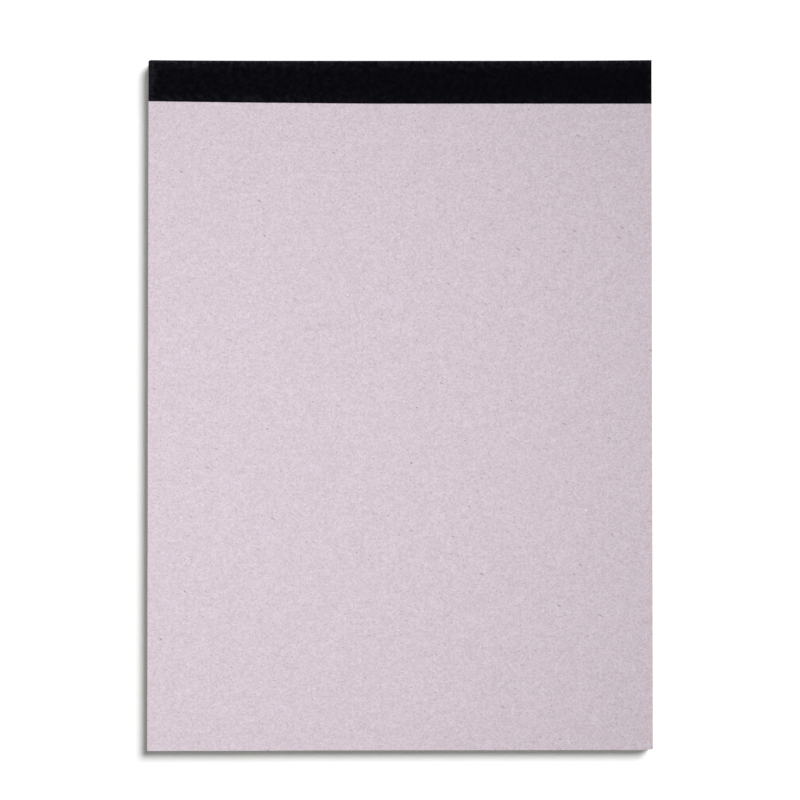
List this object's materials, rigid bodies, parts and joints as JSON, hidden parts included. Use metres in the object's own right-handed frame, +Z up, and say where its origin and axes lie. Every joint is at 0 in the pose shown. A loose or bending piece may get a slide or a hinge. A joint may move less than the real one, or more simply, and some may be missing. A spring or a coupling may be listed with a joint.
{
  "type": "legal pad",
  "caption": "Letter-width pad of ruled sheets on a grey chipboard back, glued and bound with black tape along the head.",
  "frame": {"origin": "middle of the rectangle that the pad covers, in the plane of the front sheet that it lies on", "axes": "+Z up out of the grey board, +Y towards the bound head, +X towards the right side as seen with the board up"},
  "size_m": [0.216, 0.2958, 0.0061],
  "materials": {
    "sheets": "matte, ruled",
    "chipboard": "matte, flecked",
    "padding_glue": "satin, translucent",
    "black_tape": "matte, fine crepe"
  },
  "bodies": {
    "root": {"paper_block": "sheets", "backing_board": "chipboard", "head_glue": "padding_glue", "binding_tape": "black_tape"}
  },
  "joints": []
}
